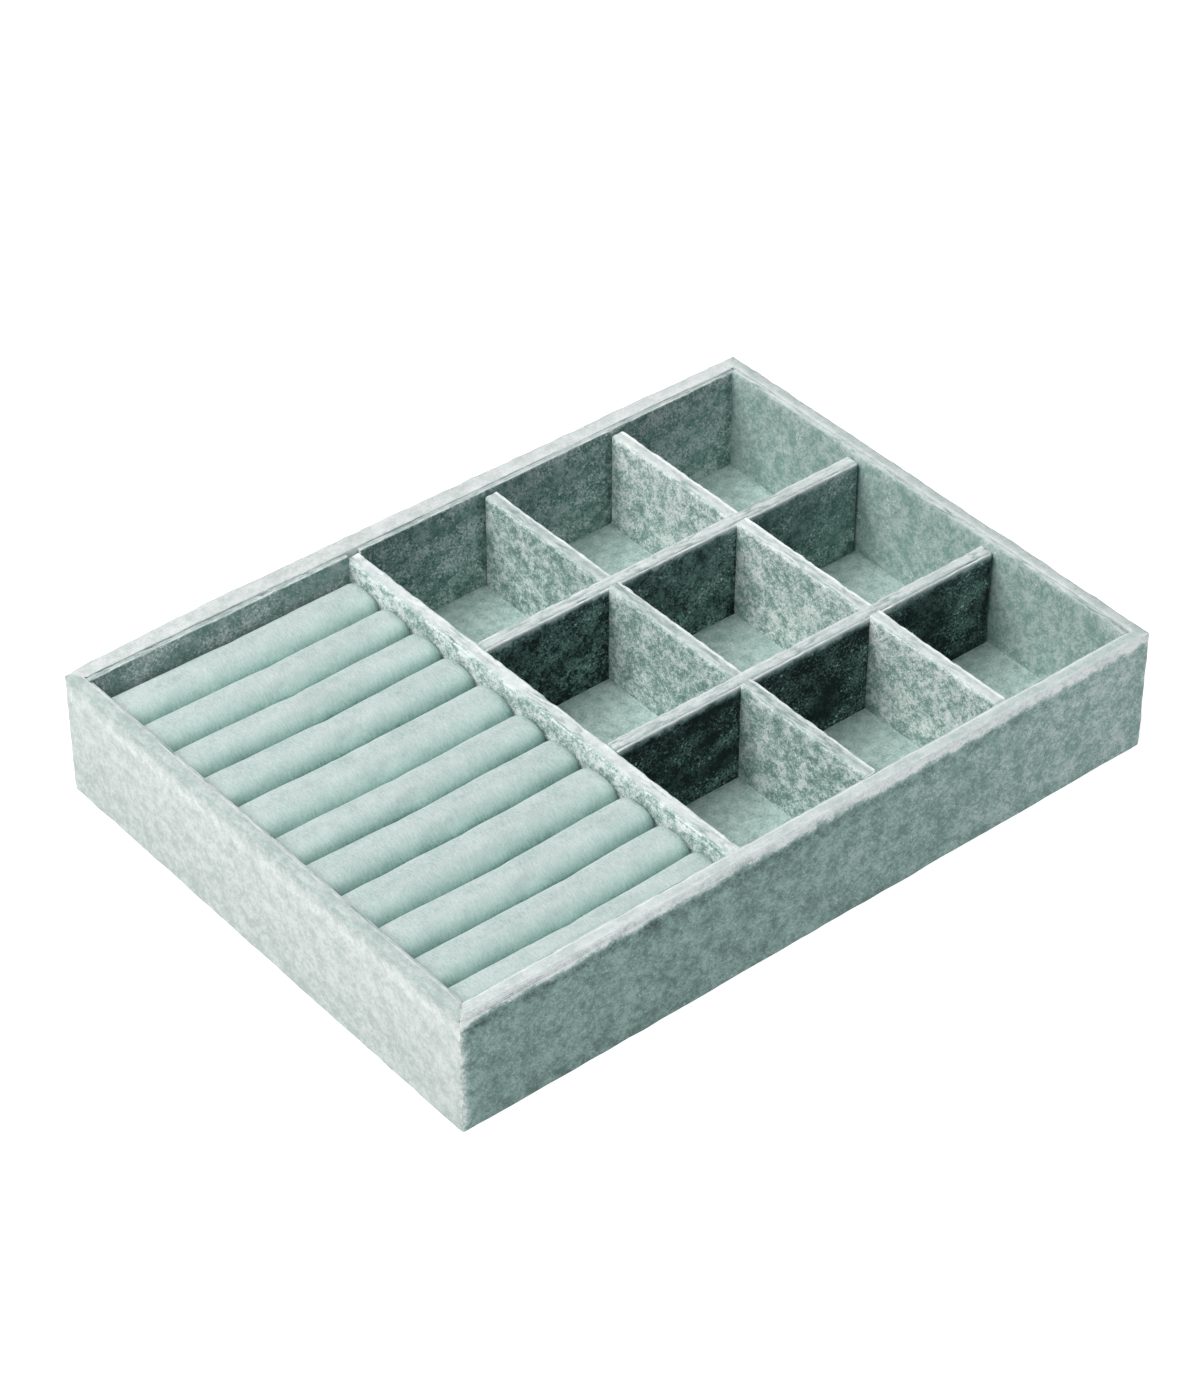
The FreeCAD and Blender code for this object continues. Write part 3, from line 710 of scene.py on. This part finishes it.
# millimetres below the top: the fold and half its width, the pile that spills over, a fray's soft end
FOLD_DROP, FOLD_HALF, SPILL_LONG, FRAY_SOFT = 1.8, 0.25, 3.2, 2
# how deep a proud cloth is drawn up, in millimetres, and over what length it starts at the front
PROUD_DEEP, PROUD_START = 6, 8 * MM
# how much paler the top is from its near to its far edge, with a painted highlight along the far edge
CROSS_TOP = ((0.0, 0.0), (0.3, 0.0), (0.6, -0.08), (0.75, -0.06), (0.9, 0.22))
LONG_TOP = ((0.0, -0.1), (0.25, -0.04), (0.5, 0.05), (0.75, 0.04), (0.9, 0.14))
PARTITION_TOP = ((0.0, -0.06), (0.5, 0.02), (0.9, 0.04))


def covered(name, board, body, radius, across_top, nap_levels=NAP_AND_SHADE, crush_levels=CRUSH, frost_levels=FROST,
            slots=(), hidden=(), start=0, proud=0.0, standing=STANDING, folded=0.0, hang=3.0, drift=0.16,
            rise=0.0):
    """The velvet round one board, as a soft piece in place of its node."""
    low, high = corners_of(f"{name}_velvet")
    places, quads = sleeve(low, high, *corners_of(board), radius, slots)
    run = 0 if high[0] - low[0] > high[1] - low[1] else 1
    shown, soft = eased_sleeve(places, low, high, radius, run, hidden)
    facing = facing_of(soft, quads)
    left_share, front_share = [np.clip(-facing[:, axis], 0, 1) for axis in (0, 1)]
    top_share = np.clip(facing[:, 2], 0, 1) ** 2
    on_top = places[:, 2] > high[2] - HAIR
    below_top = (high[2] - places[:, 2]) / MM
    across = (places[:, 1 - run] - low[1 - run]) / (high[1 - run] - low[1 - run])
    crease = np.where(on_top, creases(places, run, start), 0)
    # a fold of slack cloth runs below the left edge, with painted shade in it, and pale pile spills over
    # both near edges
    fold = np.exp(-((below_top - FOLD_DROP - 0.4 * waves(places, 12 * MM, start + 3)) / FOLD_HALF) ** 2)
    fold *= folded * left_share * np.clip(0.3 + 1.5 * waves(places, 20 * MM, start + 4), 0, 1)
    spill = fading(below_top, SPILL_LONG + 2 * waves(places, 5 * MM, start + 2))
    fray = np.clip((hang + 1.2 * waves(places, 3.5 * MM, start + 6) - below_top) / FRAY_SOFT, 0, 1)
    # painted shade darkens each crease and the fold
    nap = by_facing(facing, nap_levels) + 0.35 * crease - 0.25 * fold
    nap += 0.1 * spill * left_share ** 2 + top_share * np.interp(across, *zip(*across_top))
    # the rounded left edge faces the light, and painted shade keeps its pile no paler than the top
    nap -= 0.3 * left_share ** 2 * top_share
    nap += (front_share > 0.7) * front_shade(places, low, high, drift, rise)
    nap = np.maximum(nap, fray * np.clip((front_share - 0.3) / 0.3, 0, 1))
    crush = by_facing(facing, crush_levels)
    crush = np.where(front_share > 0.15, np.maximum(crush, 0.4 * fray + 2 * fray * (1 - fray)), crush)
    crowd = frost_patches(places, front_share, left_share, start)
    frost = by_facing(facing, frost_levels) + crowd * (1 - top_share)
    # slow and short swells, creases and the fold, in millimetres
    swell = 0.12 * waves(places, 15 * MM, start) + 0.08 * waves(places, 2.5 * MM, start + 1)
    swell += 0.4 * crease - 0.2 * fold
    soft = soft + facing * np.where(shown, swell * MM, 0)[:, None]
    tips = np.interp(across, TIP_ROW, [0, standing]) * on_top
    soft[:, 2] += tips * (0.7 + waves(places, 3 * MM, start + 9))
    # some liners' cloth stands up beside the rim, and a side liner's comes down where it meets the front
    from_front = (places[:, 1] - low[1]) / PROUD_START
    soft[:, 2] += proud * fading(below_top, PROUD_DEEP) * (np.clip(from_front, 0, 1) if run == 1 else 1)
    lie = pile_lie(places, quads, np.full(len(nap), run == 0))
    piece = new_piece(f"{name}_velvet_cover", soft, quads, velvet, lie, nap=nap, crush=crush, frost=frost,
                      rub=0.7 * top_share)
    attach(piece, body)
    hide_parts(f"{name}_velvet")
    return piece


DIVIDER_ROUND = 1.2 * MM
partition = covered("partition", "partition_board", "tray", DIVIDER_ROUND, PARTITION_TOP,
                    dict(NAP_AND_SHADE, left=0.71, top=0.77), start=11, folded=1.0)
print(partition.name, len(partition.data.polygons), "quads")

# %% The grid, halved together
long_dividers = ("front_long_divider", "rear_long_divider")
cross_dividers = ("left_cross_divider", "right_cross_divider")
SLOT_GAP = 0.05 * MM
# near the top the cross dividers' cloth reaches over the rounded edges of the long ones: how far below
# the top each step of that reach ends, and how far in it goes
REACH = ((0.7 * MM, 0.0), (0.3 * MM, 0.3 * MM), (-1.0 * MM, 0.8 * MM))
# nap of each divider's front and left faces and of its top, and how much paler its front grows to the
# right. The fronts carry painted shade, darkest on the long ones
DIVIDER_NAP_AND_SHADE = {"front_long_divider": (-0.2, 0.58, 0.69, 0.26), "rear_long_divider": (0.02, 0.58, 0.71, 0.38),
               "left_cross_divider": (0.5, 0.59, 0.67, 0.24), "right_cross_divider": (0.5, 0.66, 0.79, 0.24)}
long_low, long_high = corners_of(f"{long_dividers[0]}_velvet")
lap_height = (long_low[2] + long_high[2]) / 2


def slots_for(crossing, from_below):
    """Boxes that let the crossing dividers through, open below or above."""
    boxes = []
    for name in crossing:
        low, high = corners_of(f"{name}_velvet")
        low, high = low - SLOT_GAP, high + SLOT_GAP
        if from_below:
            high[2] = lap_height + SLOT_GAP
            boxes.append((low, high))
            continue
        bottom = lap_height
        for ends_below, inset in REACH:
            shift = np.array([inset, inset, 0])
            step_low, step_high = low + shift, high - shift
            step_low[2], step_high[2] = bottom, long_high[2] - ends_below
            boxes.append((step_low, step_high))
            bottom = step_high[2]
    return boxes


for i, (name, (front, left, top, drift)) in enumerate(DIVIDER_NAP_AND_SHADE.items()):
    is_long = name in long_dividers
    slots = slots_for(cross_dividers if is_long else long_dividers, from_below=is_long)
    levels = dict(NAP_AND_SHADE, front=front, left=left, top=top)
    crush = dict(CRUSH, front=0.8 if name == "rear_long_divider" else 0.5)
    piece = covered(name, f"{name}_board", "divider_grid", DIVIDER_ROUND, LONG_TOP if is_long else CROSS_TOP,
                    levels, crush, slots=slots, start=21 + 3 * i, folded=0.4, drift=drift, rise=0.12)
    print(piece.name, len(piece.data.polygons), "quads")

# %% The liners
LINER_ROUND = 0.5 * MM
# where the liner's cloth stands up beside the rim
PROUD = {"ring_rear": 1.1 * MM, "grid_rear": 1.25 * MM, "right": 1.9 * MM}
# along the back a painted highlight line edges the liner's top, along the right the top grows paler
REAR_TOP = ((0.0, 0.1), (0.2, 0.1), (0.45, -0.12), (1.0, -0.06))
RIGHT_TOP = ((0.0, -0.06), (0.6, 0.04))
LINER_HIDDEN = {"front": ("front", "left", "right"), "rear": ("back", "left", "right"),
                "left": ("left", "front", "back"), "right": ("right", "front", "back")}
for i, name in enumerate(("ring_front", "ring_rear", "grid_front", "grid_rear", "left", "right")):
    side = name.split("_")[-1]
    # behind the rolls the pile is even and green
    even = name == "ring_rear"
    levels = dict(NAP_AND_SHADE, left=0.58, front=0.55 if even else 0.48, top=0.70)
    crush = dict(CRUSH, left=0.55, front=0.6 if even else 0.9)
    frost = dict(FROST, left=0.34, front=0.52 if even else 0.58)
    across_top = REAR_TOP if side == "rear" else RIGHT_TOP
    piece = covered(f"{name}_liner", f"{name}_liner_card", "tray", LINER_ROUND, across_top, levels, crush,
                    frost, hidden=LINER_HIDDEN[side], start=41 + 3 * i, proud=PROUD.get(name, 0.0),
                    standing=0.0, hang=1.2, drift=0.0 if even else 0.16)
    print(piece.name, len(piece.data.polygons), "quads")

# %% [markdown]
# ## Floor cloth and underside felt
# The floor of the cells is a card with a suede-like cloth. Where it meets the walls of a cell it dips a
# little and its cut edge stands up as a pale, ragged lip. Below the tray a felt panel covers the hem's
# inner edge. Both are thin slabs. The floor gets extra grid lines beside every wall, so that the dip
# and the lip are real shapes.

# %% The cells' limits
def faces_between(axis, nodes):
    """Pairs of faces that bound the gaps between nodes in a row along an axis."""
    ends = [corners_of(node) for node in nodes]
    return [(a[1][axis], b[0][axis]) for a, b in zip(ends, ends[1:])]


cells_x = faces_between(0, ["partition_velvet", "left_cross_divider_velvet", "right_cross_divider_velvet",
                            "right_liner_velvet"])
cells_y = faces_between(1, ["grid_front_liner_velvet", "front_long_divider_velvet",
                            "rear_long_divider_velvet", "grid_rear_liner_velvet"])
print("cells in mm:", [[round(v / MM, 1) for v in pair] for pair in cells_x + cells_y])

# %% Floor suede and felt
# the cloth dips beside a wall, and its lip stands up a little further out
DIP, LIP, LIP_HALF = 0.5 * MM, 1.5 * MM, 0.6 * MM


def slab(name, node, step, radius, finish, marks=((), ())):
    """A thin cloth slab with eased edges in place of a node, and where its top is."""
    low, high = corners_of(node)
    lines = []
    for axis in range(3):
        stops = [low[axis] + radius, high[axis] - radius, *(marks[axis] if axis < 2 else ())]
        lines.append(grid_lines(low[axis], high[axis], step, stops))
    places, quads = skin(lines, np.ones([len(axis) - 1 for axis in lines], bool))
    top = places[:, 2] > high[2] - HAIR
    piece = new_piece(name, eased(places, low, high, radius, foot=False), quads, finish)
    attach(piece, "tray")
    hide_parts(node)
    return piece, places, top


lip_steps = [0.0, 0.5 * MM, 1.0 * MM, LIP, 2.2 * MM]
floor_marks = [[face + s * d for pair in cells for face, s in zip(pair, (1, -1)) for d in lip_steps]
               for cells in (cells_x, cells_y)]
floor_cloth, places, top = slab("floor_suede_cloth", "floor_suede", 3 * MM, 0.3 * MM, suede,
                                floor_marks)
inside_x = np.max([np.minimum(places[:, 0] - a, b - places[:, 0]) for a, b in cells_x], axis=0)
inside_y = np.max([np.minimum(places[:, 1] - a, b - places[:, 1]) for a, b in cells_y], axis=0)
from_wall = np.minimum(inside_x, inside_y)
dip = fading(np.abs(from_wall - DIP), DIP)
lip = fading(np.abs(from_wall - LIP), LIP_HALF) * np.clip(0.3 + waves(places, 6 * MM, 63), 0, 1)
rise = (0.10 * waves(places, 18 * MM, 61) - 0.5 * dip + 0.25 * lip) * MM
for corner, up in zip(floor_cloth.data.vertices, np.where(top, rise, 0)):
    corner.co.z += up
base_felt = slab("underside_felt_panel", "underside_felt", 4 * MM, 0.35 * MM, felt)[0]
print(floor_cloth.name, len(floor_cloth.data.polygons), "quads, and", base_felt.name)

# %% [markdown]
# ## The ring bed
# Eleven foam cores wrapped in velvet stand side by side on a foam pad and a board. Each roll is a loaf:
# flat below, straight sides where it presses on its neighbours, and a round crown. The covers are made
# the way a cushion is stuffed: a slightly small loaf of cloth is blown up from inside in a short cloth
# simulation, and the swelling is held back where the neighbours press.

# %% Loaf meshes for covers and cores
ROLLS = 11
ROLL_STEP, CORE_STEP = 1.25 * MM, 4 * MM
# how far inside its solid each loaf starts, and how long its rounded ends are
COVER_INSET, COVER_END = 0.2 * MM, 3.2 * MM
CORE_INSET, CORE_END = 0.3 * MM, 2.5 * MM
# a crown with fuller shoulders than a half circle, as stuffing gives
CROWN_POWER = 2.8


def loaf(low, high, end_round, step):
    """Places and quads of a loaf along x in a box: upright sides, a round crown and soft ends."""
    wide, tall = high[1] - low[1], high[2] - low[2]
    bends = [end_round * share for share in (0.12, 0.3, 0.6, 1)]
    ends = [low[0] + bend for bend in bends] + [high[0] - bend for bend in bends]
    lines = [grid_lines(low[0], high[0], 1.6 * step, ends)]
    lines += [grid_lines(low[i], high[i], step) for i in (1, 2)]
    places, quads = skin(lines, np.ones([len(axis) - 1 for axis in lines], bool))
    middle, crown = (low[1] + high[1]) / 2, wide / 2
    spring = high[2] - crown
    side, rise = places[:, 1] - middle, np.maximum(places[:, 2] - spring, 0)
    reach = np.maximum(np.abs(side), rise)
    length = (np.abs(side) ** CROWN_POWER + rise ** CROWN_POWER) ** (1 / CROWN_POWER)
    shrink = np.where(rise > 0, reach / np.maximum(length, 1e-12), 1)
    places[:, 1] = middle + side * shrink
    places[:, 2] = np.where(rise > 0, spring + rise * shrink, places[:, 2])
    centre, half = (low[0] + high[0]) / 2, (high[0] - low[0]) / 2
    past = np.maximum(np.abs(places[:, 0] - centre) - (half - end_round), 0)
    pull = end_round - np.sqrt(np.maximum(end_round ** 2 - past ** 2, 0))
    places[:, 1] = middle + (places[:, 1] - middle) * (1 - 0.5 * pull / crown)
    places[:, 2] = low[2] + (places[:, 2] - low[2]) * (1 - 0.9 * pull / tall)
    return places, quads


covers = []
for number in range(1, ROLLS + 1):
    low, high = corners_of(f"ring_roll_{number:02d}_velvet")
    places, quads = loaf(low + COVER_INSET, high - COVER_INSET, COVER_END, ROLL_STEP)
    covers.append(new_piece(f"ring_roll_{number:02d}_cover", places, quads, roll_velvet))
print("rolls:", len(covers), "each with about", len(covers[0].data.polygons), "quads")

# %% Blow up the covers with a short cloth simulation
SWELL_LIMIT = 1.2 * MM
STEPS = 20
# how far past its solid a cover may swell: a little at the ends, least where neighbours press, most upwards
PRESSED = 0.02 * MM
PAST_SOLID = np.array([0.2, 0.02, 0.9]) * MM
scene = bpy.context.scene
for number, cover in enumerate(covers):
    stuffing = cover.modifiers.new("stuffing", "CLOTH")
    stuffing.settings.use_pressure = True
    stuffing.settings.uniform_pressure_force = 4 + number % 3
    stuffing.settings.effector_weights.gravity = 0
for step in range(1, STEPS + 1):
    scene.frame_set(step)
depsgraph = bpy.context.evaluated_depsgraph_get()
for number, cover in enumerate(covers, start=1):
    low, high = corners_of(f"ring_roll_{number:02d}_velvet")
    start = np.array([v.co for v in cover.data.vertices])
    blown = np.array([v.co for v in cover.evaluated_get(depsgraph).data.vertices])
    cover.modifiers.remove(cover.modifiers["stuffing"])
    moved = blown - start
    far = np.linalg.norm(moved, axis=1, keepdims=True)
    moved *= np.minimum(1, SWELL_LIMIT / np.maximum(far, 1e-12))
    print(cover.name, "swells by up to", round(float(far.max() / MM), 2), "mm before the limit")
    held = np.clip(start + moved, low - PRESSED, high + PAST_SOLID)
    cover.data.vertices.foreach_set("co", held.ravel())
    cover.data.update()
scene.frame_set(1)

# %% Finish the rolls
# painted shade across a roll, deepest in its front valley and fading upwards
VALLEY_SHADE = ((0.0, 0.72), (0.04, 0.48), (0.1, 0.24), (0.16, 0.1), (0.24, 0.04), (0.34, 0.0))
# painted shade on each roll's end, which turns away from the light: how far it reaches and how dark
END_SHADE, END_DARK = 5 * MM, 0.3
# nap of the crown, the painted light that lifts the front slope the lamp reaches less, and a painted sheen
# line along the back
CROWN_NAP, FRONT_PAINTED_LIGHT, BACK_SHEEN_LINE = 0.42, 0.5, 0.2
for number, cover in enumerate(covers, start=1):
    places = np.array([v.co for v in cover.data.vertices])
    quads = np.array([list(face.vertices) for face in cover.data.polygons])
    facing = facing_of(places, quads)
    uneven = 0.28 * waves(places, 22 * MM, number) + 0.14 * waves(places, 6 * MM, number + 40)
    places += facing * (uneven * MM * (facing[:, 2] > 0.1))[:, None]
    cover.data.vertices.foreach_set("co", places.ravel())
    # painted light lifts the front slope, which the lamp reaches less, painted shade darkens the roll down
    # to its front valley and at its ends, a painted sheen line runs along its back edge, and the crown and
    # back are worn and carry painted sheen
    low, high = corners_of(f"ring_roll_{number:02d}_velvet")
    from_front = (places[:, 1] - low[1]) / (high[1] - low[1])
    roll_nap_and_shade = CROWN_NAP - FRONT_PAINTED_LIGHT * np.minimum(facing[:, 1], 0)
    roll_nap_and_shade += BACK_SHEEN_LINE * np.clip((facing[:, 1] - 0.5) / 0.2, 0, 1)
    roll_nap_and_shade -= np.interp(from_front, *zip(*VALLEY_SHADE))
    roll_nap_and_shade -= END_DARK * fading(high[0] - places[:, 0], END_SHADE) ** 1.5
    worn_and_sheen = np.clip((from_front - 0.05) / 0.35, 0, 1)
    for value_name, value in (("nap", roll_nap_and_shade), ("rub", worn_and_sheen)):
        cover.data.attributes.new(value_name, "FLOAT", "POINT").data.foreach_set("value", value)
    smooth = cover.modifiers.new("soft_pile", "SUBSURF")
    smooth.levels = 1
    smooth.render_levels = 1
    core_low, core_high = corners_of(f"ring_roll_{number:02d}_foam")
    core_places, core_quads = loaf(core_low + CORE_INSET, core_high - CORE_INSET, CORE_END, CORE_STEP)
    core = new_piece(f"ring_roll_{number:02d}_core", core_places, core_quads, foam)
    for piece, node, slot_name in ((cover, "velvet", "roll_velvet"), (core, "foam", "foam")):
        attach(piece, "ring_bed")
        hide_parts(f"ring_roll_{number:02d}_{node}")
PAD_ROUND = 1 * MM
low, high = corners_of("ring_bed_foam_pad")
lines = [grid_lines(low[i], high[i], CORE_STEP, [low[i] + PAD_ROUND, high[i] - PAD_ROUND]) for i in range(3)]
places, quads = skin(lines, np.ones([len(axis) - 1 for axis in lines], bool))
pad = new_piece("ring_bed_foam_block", eased(places, low, high, PAD_ROUND, foot=False), quads, foam)
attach(pad, "ring_bed")
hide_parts("ring_bed_foam_pad")
print("covers, cores and pad ride on the ring bed")

# %% [markdown]
# ## Boards and cards
# The boards and cards are the CAD model's own nodes: their shape is right, so they only need a finish.
# They show where the grid or the bed is lifted out.

# %% Finish the boards and cards
boards = 0
for name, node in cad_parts.items():
    if name.endswith("_board") or name.endswith("_card"):
        is_card = name.endswith("_card") or name == "ring_bed_board"
        node.data.materials.clear()
        node.data.materials.append(greyboard if is_card else fibreboard)
        boards += 1
print("boards and cards finished:", boards)

# %% [markdown]
# ## Floor, light and camera
# The photograph shows the tray on white with soft light: a large, nearly white lamp from the left and a
# little from behind, so that faces towards the front lie in shade. The air around sends a little cool
# light into that shade, and a wide, glowing floor of white paper sends light back up. The camera stands
# where thirty points of the photographed tray line up with the CAD model.

# %% Stage floor
# smooth paper: dull and even, and lit from within so that it looks white to its edges
paper = grained("paper_backdrop_smooth", "#A8A8A7", "#ACACAB", 2 * MM, 300 * MM, 0.02 * MM, 0.95)
glow = paper.node_tree.nodes["Principled BSDF"]
glow.inputs["Emission Color"].default_value = dye("#FFFFFF")
glow.inputs["Emission Strength"].default_value = 0.92
FLOOR_HALF = 4.0
floor_corners = [(x * FLOOR_HALF, y * FLOOR_HALF, 0) for x, y in ((-1, -1), (1, -1), (1, 1), (-1, 1))]
floor_mesh = bpy.data.meshes.new("studio_floor")
floor_mesh.from_pydata(floor_corners, [], [(0, 1, 2, 3)])
floor_mesh.materials.append(paper)
floor = bpy.data.objects.new("studio_floor", floor_mesh)
scene.collection.objects.link(floor)
print("floor", 2 * FLOOR_HALF, "m wide")

# %% Light
LAMP_PLACE = Vector((-1.1, 0.5, 1.9))
LAMP_SIZE, LAMP_POWER = 1.7, 70
TRAY_MIDDLE = Vector((0, 0, 0.02))
light = bpy.data.lights.new("key_soft_box", "AREA")
light.size = LAMP_SIZE
light.energy = LAMP_POWER
light.color = dye("#FFFFFD")[:3]
lamp = bpy.data.objects.new("key_soft_box", light)
lamp.location = LAMP_PLACE
lamp.rotation_euler = (TRAY_MIDDLE - LAMP_PLACE).to_track_quat("-Z", "Y").to_euler()
scene.collection.objects.link(lamp)
world = bpy.data.worlds.new("studio_air")
world.use_nodes = True
air = world.node_tree.nodes["Background"]
air.inputs["Color"].default_value = dye("#DDE8F5")
air.inputs["Strength"].default_value = 0.22
scene.world = world
scene.view_settings.view_transform = "Standard"
print("soft box", LAMP_SIZE, "m wide,", round(LAMP_PLACE.length, 2), "m from the tray")

# %% Camera
camera_data = bpy.data.cameras.new("photo_camera")
camera_data.lens = 104.25
camera_data.sensor_width = 36
camera = bpy.data.objects.new("photo_camera", camera_data)
camera.location = (-0.66619, -0.80147, 0.87653)
backwards = Vector((-0.49378, -0.59813, 0.63121))
camera.rotation_euler = (-backwards).to_track_quat("-Z", "Y").to_euler()
scene.collection.objects.link(camera)
scene.camera = camera
print("camera", round(camera.location.length, 3), "m from the tray")
